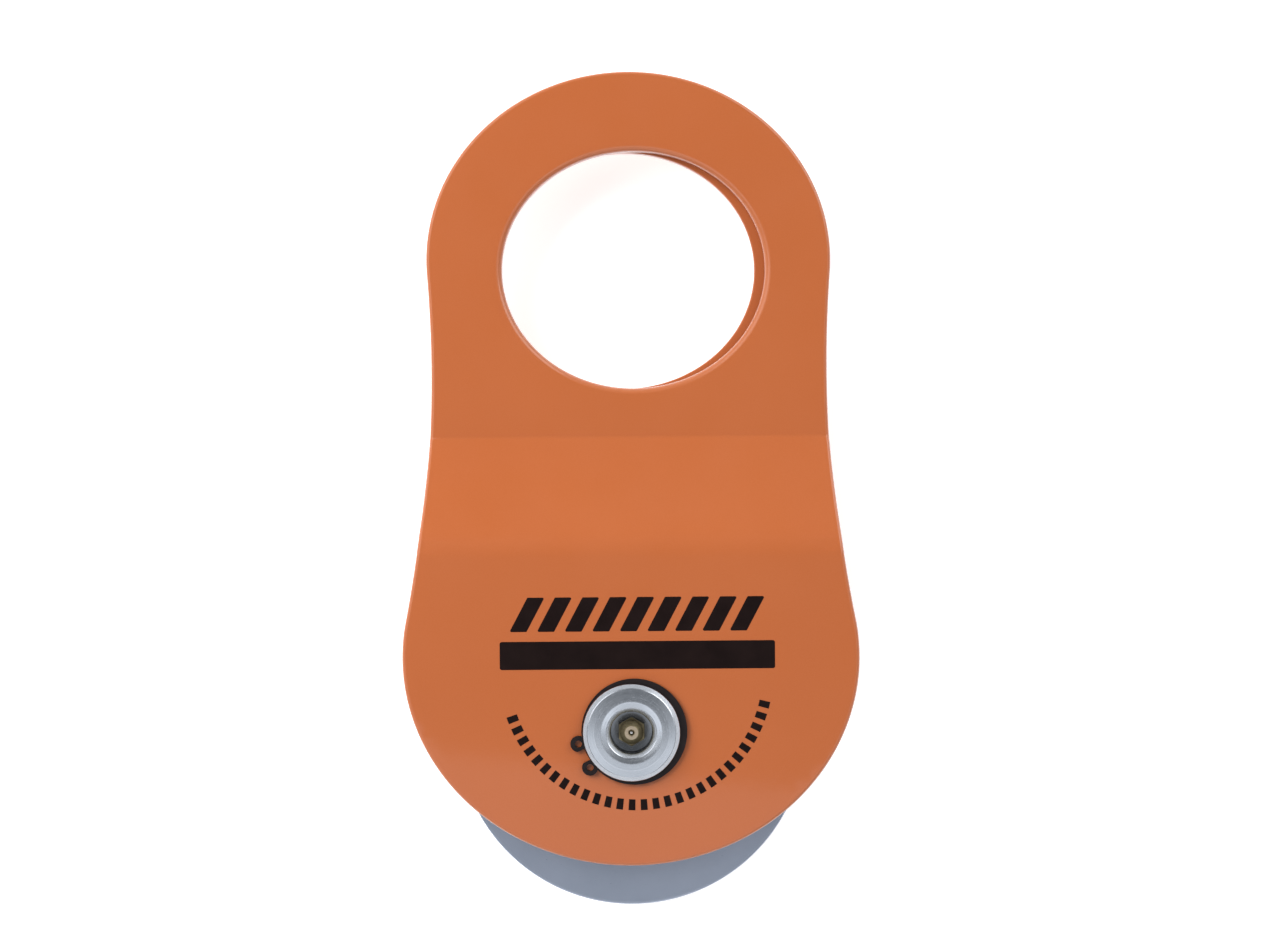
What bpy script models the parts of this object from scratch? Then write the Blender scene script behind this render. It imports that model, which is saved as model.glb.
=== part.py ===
"""A snatch block, lying on the head of its pin.

Two pressed side plates swing about one pin, and a grooved sheave turns on that
pin between their lower ends. Each plate is joggled, so that the upper ends meet
back to back and their eye holes line up for a shackle, while the lower ends
stand apart for the sheave. A retaining ring holds the pin at its front end,
which has a recess with a grease nipple.

Frame: metres, +Z along the pin from its head to its ringed end, +Y from the pin
towards the eye, and the origin at the centre of the head's flat outer face.
"""

import math

import bmesh
import bpy
from mathutils import Matrix, Vector

MM = 0.001
GAP = 0.3 * MM  # between pieces that touch

# Side plates: the outline, in the plane of the plate, with the pin at y = 0
PLATE_T = 5.5 * MM
BOTTOM_Y = 20.5 * MM  # centre of the lower arc, an ellipse
BOTTOM_RX = 62.8 * MM
BOTTOM_RY = 57.3 * MM
EYE_Y = 130.4 * MM  # centre of the upper arc, an ellipse
EYE_RX = 56.3 * MM
EYE_RY = 52.4 * MM
WAIST_R = 352 * MM  # the hollow side, tangent to both arcs
HOLE_X = 1.4 * MM  # the eye hole sits a little off the plate's centre line
HOLE_Y = 127.6 * MM
HOLE_RX = 36.6 * MM
HOLE_RY = 33.0 * MM
HOLE_LIP = 1.7 * MM  # rounding of the hole on the outer face
HOLE_BREAK = 0.4 * MM  # the same hole's chamfer on the inner face
PLATE_EDGE = 1.0 * MM  # rounding of the plate's outer edge

# Side plates: the joggle, seen from the side
BEND_LOW_Y = 50.6 * MM
BEND_HIGH_Y = 80.4 * MM
BEND_LOW_R = 14.0 * MM
BEND_HIGH_R = 5.0 * MM

# Pin
PIN_R = 13.3 * MM
HEAD_R = 17.0 * MM
HEAD_T = 3.5 * MM
PIN_END = 2.6 * MM  # what stands past the ring groove
PIN_CHAMFER = 1.2 * MM
PIN_CROWN = 0.3 * MM  # how far the end falls from the recess to its chamfer
GROOVE_DEPTH = 1.0 * MM
RECESS_LIP_R = 8.4 * MM  # where the shallow dish round the recess begins
DISH_R = 6.9 * MM  # where the dish turns down into the steep countersink
DISH_DEPTH = 0.32 * MM
RECESS_R = 5.8 * MM
RECESS_DEPTH = 8.5 * MM
COUNTERSINK = 1.4 * MM  # depth where the countersink ends in the straight wall
TAP_R = 3.0 * MM
TAP_DEPTH = 6.0 * MM
DRILL_R = 1.6 * MM

# Sheave, bush and washers
SHEAVE_R = 48.3 * MM
SHEAVE_W = 22.0 * MM
ROPE_ROOT_R = 31.5 * MM
ROPE_R = 6.5 * MM
ROPE_FLANK = math.radians(10)
WEB_DEPTH = 1.5 * MM
WEB_IN_R = 25.5 * MM
WEB_OUT_R = 35.0 * MM
BUSH_WALL = 2.2 * MM
WASHER_R = 24.0 * MM
WASHER_T = 1.55 * MM

# Retaining ring
RING_T = 1.2 * MM
RING_R = 14.5 * MM
RING_OFFSET = 0.8 * MM
RING_THICK = math.radians(12)  # direction of its thickest part, from +X
RING_OPEN = math.radians(206)  # direction of its gap, from +X
LUG_SPREAD = math.radians(14)
LUG_AT = 14.9 * MM
LUG_R = 2.2 * MM
LUG_HOLE_R = 0.95 * MM
RING_GAP = 3.4 * MM

# Grease nipple
HEX_FLATS = 7.0 * MM
HEX_H = 2.6 * MM
BALL_R = 0.95 * MM
BALL_BORE = 1.25 * MM
SPRING_R = 0.68 * MM
SPRING_WIRE = 0.15 * MM
SPRING_TURNS = 6

# Stack along the pin, from the head's outer face
REAR_OUT = HEAD_T + GAP
REAR_IN = REAR_OUT + PLATE_T
REAR_WASHER = REAR_IN + GAP
SHEAVE_LOW = REAR_WASHER + WASHER_T + GAP
MID = SHEAVE_LOW + SHEAVE_W / 2  # the plane where the plates' upper ends meet
SHEAVE_HIGH = SHEAVE_LOW + SHEAVE_W
FRONT_WASHER = SHEAVE_HIGH + GAP
FRONT_IN = FRONT_WASHER + WASHER_T + GAP
FRONT_OUT = FRONT_IN + PLATE_T
RING_LOW = FRONT_OUT + GAP
RING_HIGH = RING_LOW + RING_T
PIN_TOP = RING_HIGH + GAP + PIN_END


def clear():
    for obj in list(bpy.data.objects):
        bpy.data.objects.remove(obj, do_unlink=True)


def new_collection(name):
    collection = bpy.data.collections.new(name)
    bpy.context.scene.collection.children.link(collection)
    return collection


def material(name, colour, roughness, metallic):
    made = bpy.data.materials.new(name)
    made.use_nodes = True
    shader = made.node_tree.nodes["Principled BSDF"]
    shader.inputs["Base Color"].default_value = (*colour, 1)
    shader.inputs["Roughness"].default_value = roughness
    shader.inputs["Metallic"].default_value = metallic
    made.diffuse_color = (*colour, 1)
    return made


def add_object(name, mesh, collection, location=(0, 0, 0)):
    obj = bpy.data.objects.new(name, mesh)
    collection.objects.link(obj)
    obj.location = location
    if collection == CUTTERS:
        obj.hide_render = True
        obj.display_type = "WIRE"
    return obj


def settle(obj, finish=None):
    """Replaces an object's mesh by what its modifiers make, shaded round where it is round."""
    bpy.context.view_layer.update()
    graph = bpy.context.evaluated_depsgraph_get()
    mesh = bpy.data.meshes.new_from_object(obj.evaluated_get(graph))
    obj.modifiers.clear()
    obj.data = mesh
    mesh.name = obj.name
    mesh.shade_smooth()
    mesh.set_sharp_from_angle(angle=math.radians(30))
    if finish:
        mesh.materials.clear()
        mesh.materials.append(finish)
    return obj


def arc(x, z, radius, start, end, count):
    """count points on an arc, from one angle to the other in degrees."""
    step = (end - start) / (count - 1)
    return [
        (
            x + radius * math.cos(math.radians(start + step * i)),
            z + radius * math.sin(math.radians(start + step * i)),
        )
        for i in range(count)
    ]


def turned(name, profile, steps, collection, closed=False, location=(0, 0, 0)):
    """A profile of (radius, height) points turned about Z. It runs down its outer side."""
    mesh = bpy.data.meshes.new(name)
    edges = [(i, i + 1) for i in range(len(profile) - 1)]
    if closed:
        edges.append((len(profile) - 1, 0))
    mesh.from_pydata([(r, 0, z) for r, z in profile], edges, [])
    obj = add_object(name, mesh, collection, location)
    screw = obj.modifiers.new("turn", "SCREW")
    screw.steps = screw.render_steps = steps
    screw.use_merge_vertices = True
    screw.merge_threshold = 0.00001
    return obj


def rod(name, radius, low, high, sides, collection, at=(0, 0), turn=None):
    """A cylinder from one height to another, then turned by a matrix."""
    mesh = bpy.data.meshes.new(name)
    made = bmesh.new()
    bmesh.ops.create_cone(
        made,
        cap_ends=True,
        segments=sides,
        radius1=radius,
        radius2=radius,
        depth=high - low,
        matrix=Matrix.Translation((at[0], at[1], (high + low) / 2)),
    )
    if turn:
        bmesh.ops.transform(made, matrix=turn, verts=made.verts)
    made.to_mesh(mesh)
    made.free()
    return add_object(name, mesh, collection)


def box(name, size, centre, collection, turn=None):
    mesh = bpy.data.meshes.new(name)
    made = bmesh.new()
    bmesh.ops.create_cube(made, size=1)
    bmesh.ops.scale(made, vec=size, verts=made.verts)
    bmesh.ops.translate(made, vec=centre, verts=made.verts)
    if turn:
        bmesh.ops.transform(made, matrix=turn, verts=made.verts)
    made.to_mesh(mesh)
    made.free()
    return add_object(name, mesh, collection)


def boolean(obj, other, operation="DIFFERENCE"):
    modifier = obj.modifiers.new(f"{operation.lower()} {other.name}"[:60], "BOOLEAN")
    modifier.operation = operation
    modifier.object = other
    modifier.solver = "EXACT"


def on_ellipse(centre_y, rx, ry, angle):
    """A point of an upright ellipse and its outward normal."""
    point = Vector((rx * math.cos(angle), centre_y + ry * math.sin(angle)))
    normal = Vector((math.cos(angle) / rx, math.sin(angle) / ry)).normalized()
    return point, normal


def waist_touches():
    """The angles where the hollow side touches the two arcs, and its centre.

    Its centre is WAIST_R away from both arcs along their normals, so the two
    points found that way are brought together by Newton's method."""

    def apart(low, high):
        a, na = on_ellipse(BOTTOM_Y, BOTTOM_RX, BOTTOM_RY, low)
        b, nb = on_ellipse(EYE_Y, EYE_RX, EYE_RY, high)
        return (a + WAIST_R * na) - (b + WAIST_R * nb)

    low, high, small = 0.18, -0.05, 1e-6
    for _ in range(40):
        now = apart(low, high)
        by_low = (apart(low + small, high) - now) / small
        by_high = (apart(low, high + small) - now) / small
        area = by_low.x * by_high.y - by_low.y * by_high.x
        low -= (now.x * by_high.y - now.y * by_high.x) / area
        high -= (by_low.x * now.y - by_low.y * now.x) / area
    point, normal = on_ellipse(BOTTOM_Y, BOTTOM_RX, BOTTOM_RY, low)
    return low, high, point + WAIST_R * normal


def plate_outline(low_count=22, waist_count=12, eye_count=21):
    """The plate's outline, as one closed run of points, from the bottom up its right side."""
    low, high, centre = waist_touches()
    right = []
    for i in range(low_count):
        angle = -math.pi / 2 + (low + math.pi / 2) * i / (low_count - 1)
        right.append(on_ellipse(BOTTOM_Y, BOTTOM_RX, BOTTOM_RY, angle)[0])
    start = right[-1] - centre
    end = on_ellipse(EYE_Y, EYE_RX, EYE_RY, high)[0] - centre
    first = math.atan2(start.y, start.x) % (2 * math.pi)
    last = math.atan2(end.y, end.x) % (2 * math.pi)
    for i in range(1, waist_count):
        angle = first + (last - first) * i / waist_count
        right.append(centre + WAIST_R * Vector((math.cos(angle), math.sin(angle))))
    for i in range(eye_count):
        angle = high + (math.pi / 2 - high) * i / (eye_count - 1)
        right.append(on_ellipse(EYE_Y, EYE_RX, EYE_RY, angle)[0])
    left = [Vector((-p.x, p.y)) for p in reversed(right[1:-1])]
    return right + left


def joggle(y):
    """The height of the plate's middle above MID at y, and the tilt of the plate there."""
    rise = FRONT_IN - MID - GAP / 2
    flat_low = FRONT_IN - MID + PLATE_T / 2
    flat_high = flat_low - rise
    slope = math.atan(rise / (BEND_HIGH_Y - BEND_LOW_Y))
    low_reach = BEND_LOW_R * math.tan(slope / 2)
    high_reach = BEND_HIGH_R * math.tan(slope / 2)
    low_start, low_end = BEND_LOW_Y - low_reach, BEND_LOW_Y + low_reach * math.cos(slope)
    high_start, high_end = BEND_HIGH_Y - high_reach * math.cos(slope), BEND_HIGH_Y + high_reach
    if y <= low_start:
        return flat_low, 0
    if y < low_end:
        tilt = math.asin((y - low_start) / BEND_LOW_R)
        return flat_low - BEND_LOW_R * (1 - math.cos(tilt)), tilt
    if y <= high_start:
        return flat_low - math.tan(slope) * (y - BEND_LOW_Y), slope
    if y < high_end:
        tilt = math.asin((high_end - y) / BEND_HIGH_R)
        return flat_high + BEND_HIGH_R * (1 - math.cos(tilt)), tilt
    return flat_high, 0


def bend_lines(low_count=5, high_count=4):
    """The heights y where the flat blank is divided, so that it can follow the two bends."""
    slope = math.atan((FRONT_IN - MID - GAP / 2) / (BEND_HIGH_Y - BEND_LOW_Y))
    low_start = BEND_LOW_Y - BEND_LOW_R * math.tan(slope / 2)
    high_end = BEND_HIGH_Y + BEND_HIGH_R * math.tan(slope / 2)
    return [
        low_start + BEND_LOW_R * math.sin(slope * i / (low_count - 1)) for i in range(low_count)
    ] + [
        high_end - BEND_HIGH_R * math.sin(slope * i / (high_count - 1)) for i in range(high_count)
    ]


def hole_cutter():
    """A turned plug the shape of the eye hole, wider at both faces, stretched to its oval."""
    half = PLATE_T / 2
    plug = [(0, half + 3 * MM), (HOLE_RY + HOLE_LIP, half + 3 * MM)]
    plug += [
        (r, z)
        for r, z in arc(HOLE_RY + HOLE_LIP, half - HOLE_LIP, HOLE_LIP, 90, 180, 4)
    ]
    plug += [
        (HOLE_RY, -half + HOLE_BREAK),
        (HOLE_RY + HOLE_BREAK, -half),
        (HOLE_RY + HOLE_BREAK, -half - 3 * MM),
        (0, -half - 3 * MM),
    ]
    cutter = turned("eye_hole_cutter", plug, 72, CUTTERS, location=(HOLE_X, HOLE_Y, 0))
    cutter.scale.x = HOLE_RX / HOLE_RY
    return cutter


def pressed_plate(name, finish):
    """A flat blank with its holes and rounded edges, divided at the bends, then joggled."""
    mesh = bpy.data.meshes.new(name)
    made = bmesh.new()
    corners = [made.verts.new((p.x, p.y, -PLATE_T / 2)) for p in plate_outline()]
    made.faces.new(corners)
    made.to_mesh(mesh)
    made.free()
    plate = add_object(name, mesh, PARTS)
    thick = plate.modifiers.new("thickness", "SOLIDIFY")
    thick.thickness = PLATE_T
    thick.offset = 1
    edge = plate.modifiers.new("rounded edge", "BEVEL")
    edge.width = PLATE_EDGE
    edge.segments = 2
    edge.limit_method = "ANGLE"
    edge.angle_limit = math.radians(40)
    boolean(plate, EYE_CUTTER)
    boolean(plate, PIN_HOLE_CUTTER)
    settle(plate, finish)

    made = bmesh.new()
    made.from_mesh(plate.data)
    for y in bend_lines():
        bmesh.ops.bisect_plane(
            made,
            geom=[*made.verts, *made.edges, *made.faces],
            dist=1e-7,
            plane_co=(0, y, 0),
            plane_no=(0, 1, 0),
        )
    bmesh.ops.triangulate(made, faces=made.faces)
    for vert in made.verts:
        middle, tilt = joggle(vert.co.y)
        across = vert.co.z
        vert.co.y += across * math.sin(tilt)
        vert.co.z = middle + across * math.cos(tilt)
    made.to_mesh(plate.data)
    made.free()
    plate.data.shade_smooth()
    plate.data.set_sharp_from_angle(angle=math.radians(30))
    plate.location = (0, 0, MID)
    return plate


def sheave_profile():
    """Half the sheave's section, mirrored about its middle plane, from the top of the rim round."""
    half = SHEAVE_W / 2
    land = 0.8 * MM
    centre = ROPE_ROOT_R + ROPE_R
    touch_r = centre - ROPE_R * math.sin(ROPE_FLANK)
    touch_z = ROPE_R * math.cos(ROPE_FLANK)
    lip_z = touch_z + (SHEAVE_R - touch_r) * math.tan(ROPE_FLANK)
    outer = arc(SHEAVE_R - land, half - land, land, 90, 0, 3)
    outer.append((SHEAVE_R, lip_z + land))
    outer.append((SHEAVE_R - 0.3 * land, lip_z + 0.25 * land))
    outer.append((SHEAVE_R - land, lip_z - land * math.tan(ROPE_FLANK)))
    degrees = math.degrees(ROPE_FLANK)
    groove = arc(centre, 0, ROPE_R, 90 + degrees, 270 - degrees, 9)
    upper = outer + groove[:5]
    lower = [(r, -z) for r, z in reversed(upper[:-1])]
    bore = PIN_R + GAP + BUSH_WALL + GAP
    chamfer = 0.5 * MM
    side = [
        (WEB_OUT_R, half),
        (WEB_OUT_R - WEB_DEPTH, half - WEB_DEPTH),
        (WEB_IN_R + WEB_DEPTH, half - WEB_DEPTH),
        (WEB_IN_R, half),
        (bore + chamfer, half),
        (bore, half - chamfer),
    ]
    return upper + lower + [(r, -z) for r, z in side] + list(reversed(side))


def make_sheave():
    sheave = turned(
        "sheave", sheave_profile(), 60, PARTS, closed=True, location=(0, 0, MID)
    )
    return settle(sheave, ZINC)


def make_bush():
    inner, half = PIN_R + GAP, SHEAVE_W / 2
    outer, chamfer, groove = inner + BUSH_WALL, 0.4 * MM, 0.6 * MM
    profile = [
        (outer - chamfer, half),
        (outer, half - chamfer),
        (outer, -half + chamfer),
        (outer - chamfer, -half),
        (inner + chamfer, -half),
        (inner, -half + chamfer),
        (inner, -3 * MM),
        (inner + groove, -2 * MM),
        (inner + groove, 2 * MM),
        (inner, 3 * MM),
        (inner, half - chamfer),
        (inner + chamfer, half),
    ]
    bush = turned("sheave_bush", profile, 40, PARTS, closed=True, location=(0, 0, MID))
    return settle(bush, BRONZE)


def make_washer(name, low):
    inner = PIN_R + GAP
    profile = [(WASHER_R, WASHER_T), (WASHER_R, 0), (inner, 0), (inner, WASHER_T)]
    washer = turned(name, profile, 40, PARTS, closed=True, location=(0, 0, low))
    return settle(washer, BRONZE)


def make_pin():
    floor = PIN_TOP - RECESS_DEPTH
    groove_low, groove_high = RING_LOW - GAP, RING_HIGH + GAP
    chamfer, head_edge = PIN_CHAMFER, 0.8 * MM
    profile = [
        (0, MID - 3.0 * MM),
        (DRILL_R, MID - 2.2 * MM),
        (DRILL_R, floor - TAP_DEPTH),
        (TAP_R, floor - TAP_DEPTH + TAP_R - DRILL_R),
        (TAP_R, floor),
        (RECESS_R, floor),
        (RECESS_R, PIN_TOP - COUNTERSINK),
        (DISH_R, PIN_TOP - DISH_DEPTH),
        (RECESS_LIP_R, PIN_TOP),
        (RECESS_LIP_R + 1.9 * MM, PIN_TOP - 0.4 * PIN_CROWN),
        (PIN_R - chamfer, PIN_TOP - PIN_CROWN),
        (PIN_R, PIN_TOP - PIN_CROWN - chamfer),
        (PIN_R, groove_high),
        (PIN_R - GROOVE_DEPTH, groove_high),
        (PIN_R - GROOVE_DEPTH, groove_low),
        (PIN_R, groove_low),
        (PIN_R, HEAD_T),
        (HEAD_R - head_edge, HEAD_T),
        (HEAD_R, HEAD_T - head_edge),
        (HEAD_R, head_edge),
        (HEAD_R - head_edge, 0),
        (0, 0),
    ]
    pin = turned("axle_pin", profile, 48, PARTS)
    crosswise = Matrix.Translation((0, 0, MID)) @ Matrix.Rotation(math.pi / 2, 4, "Y")
    drill = rod("pin_cross_drill", 1.5 * MM, 0, PIN_R + MM, 12, CUTTERS, turn=crosswise)
    boolean(pin, drill)
    return settle(pin, STEEL)


def direction(angle, length):
    return (length * math.cos(angle), length * math.sin(angle))


def make_ring():
    """An eccentric flat ring, thickest nearly across from its gap, with a lug and a plier hole each side of it."""
    low, high = RING_LOW, RING_HIGH
    thick = direction(RING_THICK, RING_OFFSET)
    ring = rod("retaining_ring", RING_R, low, high, 72, PARTS, at=thick)
    lugs = []
    for i, angle in enumerate((RING_OPEN - LUG_SPREAD, RING_OPEN + LUG_SPREAD)):
        at = direction(angle, LUG_AT)
        lug = rod(f"ring_lug_{i + 1}", LUG_R, low, high, 20, CUTTERS, at=at)
        boolean(ring, lug, "UNION")
        lugs.append(at)
    inside = PIN_R - GROOVE_DEPTH + GAP
    cut_low, cut_high = low - MM, high + MM
    boolean(ring, rod("ring_inside_cutter", inside, cut_low, cut_high, 72, CUTTERS))
    for i, at in enumerate(lugs):
        name = f"ring_hole_cutter_{i + 1}"
        boolean(ring, rod(name, LUG_HOLE_R, cut_low, cut_high, 16, CUTTERS, at=at))
    length = 14 * MM
    gap = box(
        "ring_gap_cutter",
        (length, RING_GAP, cut_high - cut_low),
        (8 * MM + length / 2, 0, (cut_high + cut_low) / 2),
        CUTTERS,
        turn=Matrix.Rotation(RING_OPEN, 4, "Z"),
    )
    boolean(ring, gap)
    return settle(ring, BLACK)


def nipple_levels():
    """The heights of the nipple's base, its shoulder, its tip, its ball seat, its ball and its spring ledge."""
    base = PIN_TOP - RECESS_DEPTH + GAP
    tip = PIN_TOP - 0.9 * MM
    seat = tip - 0.6 * MM
    opening = 0.65 * MM
    ball = seat - math.sqrt((BALL_R + GAP) ** 2 - opening**2)
    ledge = base - 1.4 * MM
    return base, base + HEX_H, tip, seat, opening, ball, ledge


def make_nipple():
    """A hexagon with a screwed shank below and the round head above, drilled through for the ball."""
    base, shoulder, tip, seat, opening, ball, ledge = nipple_levels()
    shank_r, shank_low = TAP_R - GAP, base - TAP_DEPTH + 1.5 * MM
    profile = [
        (0, tip),
        (1.9 * MM, tip),
        (3.25 * MM, tip - 1.35 * MM),
        (3.25 * MM, tip - 1.95 * MM),
        (2.35 * MM, tip - 3.1 * MM),
        (2.35 * MM, tip - 3.7 * MM),
        (3.2 * MM, shoulder - 0.1 * MM),
        (3.2 * MM, base + 0.5 * MM),
        (shank_r, base),
        (shank_r, shank_low + 0.5 * MM),
        (shank_r - 0.5 * MM, shank_low),
        (0, shank_low),
    ]
    nipple = turned("grease_nipple", profile, 32, PARTS)
    corner = HEX_FLATS / 2 / math.cos(math.pi / 6)
    hexagon = rod("nipple_hexagon", corner, base, shoulder, 6, CUTTERS)
    boolean(nipple, hexagon, "UNION")
    bore = [
        (0, tip + MM),
        (1.0 * MM, tip + MM),
        (1.0 * MM, tip),
        (opening, tip - 0.35 * MM),
        (opening, seat),
        (BALL_BORE, seat - (BALL_BORE - opening)),
        (BALL_BORE, ledge),
        (0.5 * MM, ledge),
        (0.5 * MM, shank_low - MM),
        (0, shank_low - MM),
    ]
    boolean(nipple, turned("nipple_bore_cutter", bore, 24, CUTTERS))
    return settle(nipple, BRASS)


def make_ball():
    ball_z = nipple_levels()[5]
    mesh = bpy.data.meshes.new("nipple_ball")
    made = bmesh.new()
    bmesh.ops.create_uvsphere(made, u_segments=12, v_segments=8, radius=BALL_R)
    made.to_mesh(mesh)
    made.free()
    ball = add_object("nipple_ball", mesh, PARTS, (0, 0, ball_z))
    return settle(ball, STEEL)


def make_spring():
    """A coil under the ball, from its ledge up, wound as one wire."""
    ball_z, ledge = nipple_levels()[5:7]
    low = ledge + GAP + SPRING_WIRE
    high = ball_z - BALL_R - GAP - SPRING_WIRE
    per_turn = 8
    count = SPRING_TURNS * per_turn + 1
    curve = bpy.data.curves.new("nipple_spring", "CURVE")
    curve.dimensions = "3D"
    curve.bevel_depth = SPRING_WIRE
    curve.bevel_resolution = 1
    curve.use_fill_caps = True
    spline = curve.splines.new("POLY")
    spline.points.add(count - 1)
    for i, point in enumerate(spline.points):
        angle = 2 * math.pi * i / per_turn
        height = low + (high - low) * i / (count - 1)
        point.co = (SPRING_R * math.cos(angle), SPRING_R * math.sin(angle), height, 1)
    curve.materials.append(STEEL)
    return add_object("nipple_spring", curve, PARTS)


clear()
PARTS = new_collection("snatch_block")
CUTTERS = new_collection("cutters")

ORANGE = material("orange_powder_coat", (0.58, 0.17, 0.065), 0.42, 0)
ZINC = material("zinc_plated_sheave", (0.33, 0.35, 0.40), 0.45, 0.8)
STEEL = material("zinc_plated_pin", (0.60, 0.63, 0.68), 0.3, 1)
BLACK = material("blackened_ring", (0.03, 0.028, 0.03), 0.4, 0.6)
BRASS = material("brass_nipple", (0.50, 0.38, 0.16), 0.3, 1)
BRONZE = material("bronze_bush", (0.45, 0.27, 0.12), 0.35, 1)

EYE_CUTTER = hole_cutter()
PIN_HOLE_CUTTER = rod(
    "pin_hole_cutter", PIN_R + GAP, -PLATE_T, PLATE_T, 60, CUTTERS
)

pressed_plate("front_side_plate", ORANGE)
rear = pressed_plate("rear_side_plate", ORANGE)
rear.rotation_euler.y = math.pi  # the same pressing turned round

make_sheave()
make_bush()
make_washer("rear_thrust_washer", REAR_WASHER)
make_washer("front_thrust_washer", FRONT_WASHER)
make_pin()
make_ring()
make_nipple()
make_ball()
make_spring()
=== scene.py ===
"""The looks of the snatch block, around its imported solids.

Every node is replaced by a finer piece of the same shape and size, in the same
place, with rounded edges, real bends and a procedural finish. The print on the
front plate is plain stripes and ticks.
"""

import math

import bmesh
import bpy
from mathutils import Matrix, Quaternion, Vector
from mathutils.geometry import delaunay_2d_cdt


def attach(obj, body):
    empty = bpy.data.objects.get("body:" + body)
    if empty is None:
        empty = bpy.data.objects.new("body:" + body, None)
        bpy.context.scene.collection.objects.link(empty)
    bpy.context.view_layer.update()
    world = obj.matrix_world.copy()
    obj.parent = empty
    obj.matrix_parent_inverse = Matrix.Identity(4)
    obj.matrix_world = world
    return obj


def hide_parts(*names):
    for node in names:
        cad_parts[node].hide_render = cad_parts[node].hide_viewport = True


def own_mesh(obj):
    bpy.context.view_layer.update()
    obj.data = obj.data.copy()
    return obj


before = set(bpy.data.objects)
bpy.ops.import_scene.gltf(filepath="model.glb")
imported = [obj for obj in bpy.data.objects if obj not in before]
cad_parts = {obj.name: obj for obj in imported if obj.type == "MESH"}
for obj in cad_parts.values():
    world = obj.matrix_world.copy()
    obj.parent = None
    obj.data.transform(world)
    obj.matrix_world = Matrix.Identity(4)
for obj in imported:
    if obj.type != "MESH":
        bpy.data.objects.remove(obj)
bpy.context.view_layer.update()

MM = 0.001
GAP = 0.3 * MM

# Side plates, as in the solids
PLATE_T = 5.5 * MM
BOTTOM_Y, BOTTOM_RX, BOTTOM_RY = 20.5 * MM, 62.79 * MM, 57.3 * MM
EYE_Y, EYE_RX, EYE_RY = 130.4 * MM, 56.3 * MM, 52.4 * MM
WAIST_R = 352 * MM
HOLE_X, HOLE_Y, HOLE_RX, HOLE_RY = 1.4 * MM, 127.6 * MM, 36.6 * MM, 33.0 * MM
HOLE_LIP, HOLE_BREAK, PLATE_EDGE = 1.7 * MM, 0.4 * MM, 1.0 * MM
BEND_LOW_Y, BEND_HIGH_Y = 50.6 * MM, 80.4 * MM
BEND_LOW_R, BEND_HIGH_R = 14.0 * MM, 5.0 * MM

# Pin, sheave, bush, washers, ring and nipple
PIN_R, HEAD_R, HEAD_T, PIN_END = 13.3 * MM, 17.0 * MM, 3.5 * MM, 2.6 * MM
PIN_CHAMFER, PIN_CROWN, GROOVE_DEPTH = 1.2 * MM, 0.3 * MM, 1.0 * MM
RECESS_LIP_R, RECESS_R, RECESS_DEPTH = 8.4 * MM, 5.8 * MM, 8.5 * MM
DISH_R, DISH_DEPTH, COUNTERSINK = 6.9 * MM, 0.32 * MM, 1.4 * MM
TAP_R, TAP_DEPTH, DRILL_R = 3.0 * MM, 6.0 * MM, 1.6 * MM
SHEAVE_R, SHEAVE_W = 48.3 * MM, 22.0 * MM
ROPE_ROOT_R, ROPE_R, ROPE_FLANK = 31.5 * MM, 6.5 * MM, math.radians(10)
WEB_DEPTH, WEB_IN_R, WEB_OUT_R = 1.5 * MM, 25.5 * MM, 35.0 * MM
BUSH_WALL, WASHER_R, WASHER_T = 2.2 * MM, 24.0 * MM, 1.55 * MM
RING_T, RING_R, RING_OFFSET = 1.2 * MM, 14.5 * MM, 0.8 * MM
RING_THICK, RING_OPEN, LUG_SPREAD = math.radians(12), math.radians(206), math.radians(14)
LUG_AT, LUG_R, LUG_HOLE_R, RING_GAP = 14.9 * MM, 2.2 * MM, 0.95 * MM, 3.4 * MM
HEX_FLATS, HEX_H, BALL_R, BALL_BORE = 7.0 * MM, 2.6 * MM, 0.95 * MM, 1.25 * MM
SPRING_R, SPRING_WIRE, SPRING_TURNS, BALL_TRAVEL = 0.68 * MM, 0.15 * MM, 6, 0.6 * MM

# Stack along the pin
REAR_OUT = HEAD_T + GAP
REAR_IN = REAR_OUT + PLATE_T
REAR_WASHER = REAR_IN + GAP
SHEAVE_LOW = REAR_WASHER + WASHER_T + GAP
MID = SHEAVE_LOW + SHEAVE_W / 2
FRONT_WASHER = SHEAVE_LOW + SHEAVE_W + GAP
FRONT_IN = FRONT_WASHER + WASHER_T + GAP
FRONT_OUT = FRONT_IN + PLATE_T
RING_LOW = FRONT_OUT + GAP
RING_HIGH = RING_LOW + RING_T
PIN_TOP = RING_HIGH + GAP + PIN_END

SCENE = bpy.context.scene


# ---------------------------------------------------------------- finishes


def node(tree, kind, inputs=None, **settings):
    made = tree.nodes.new(kind)
    for key, value in settings.items():
        setattr(made, key, value)
    for key, value in (inputs or {}).items():
        if isinstance(value, bpy.types.NodeSocket):
            tree.links.new(value, made.inputs[key])
        else:
            made.inputs[key].default_value = value
    return made


def finish_of(name, **fixed):
    """A new material, its node tree and its shader, with values set on the shader's own sockets."""
    made = bpy.data.materials.new(name)
    made.use_nodes = True
    shader = made.node_tree.nodes["Principled BSDF"]
    for socket, value in fixed.items():
        shader.inputs[socket.replace("_", " ")].default_value = value
    return made, made.node_tree, shader


def place(tree):
    return node(tree, "ShaderNodeTexCoord").outputs["Object"]


def noise(tree, vector, scale, detail=2.0, rough=0.5, kind="3D"):
    return node(
        tree,
        "ShaderNodeTexNoise",
        {"Vector": vector, "Scale": scale, "Detail": detail, "Roughness": rough},
        noise_dimensions=kind,
    ).outputs["Fac"]


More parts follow.
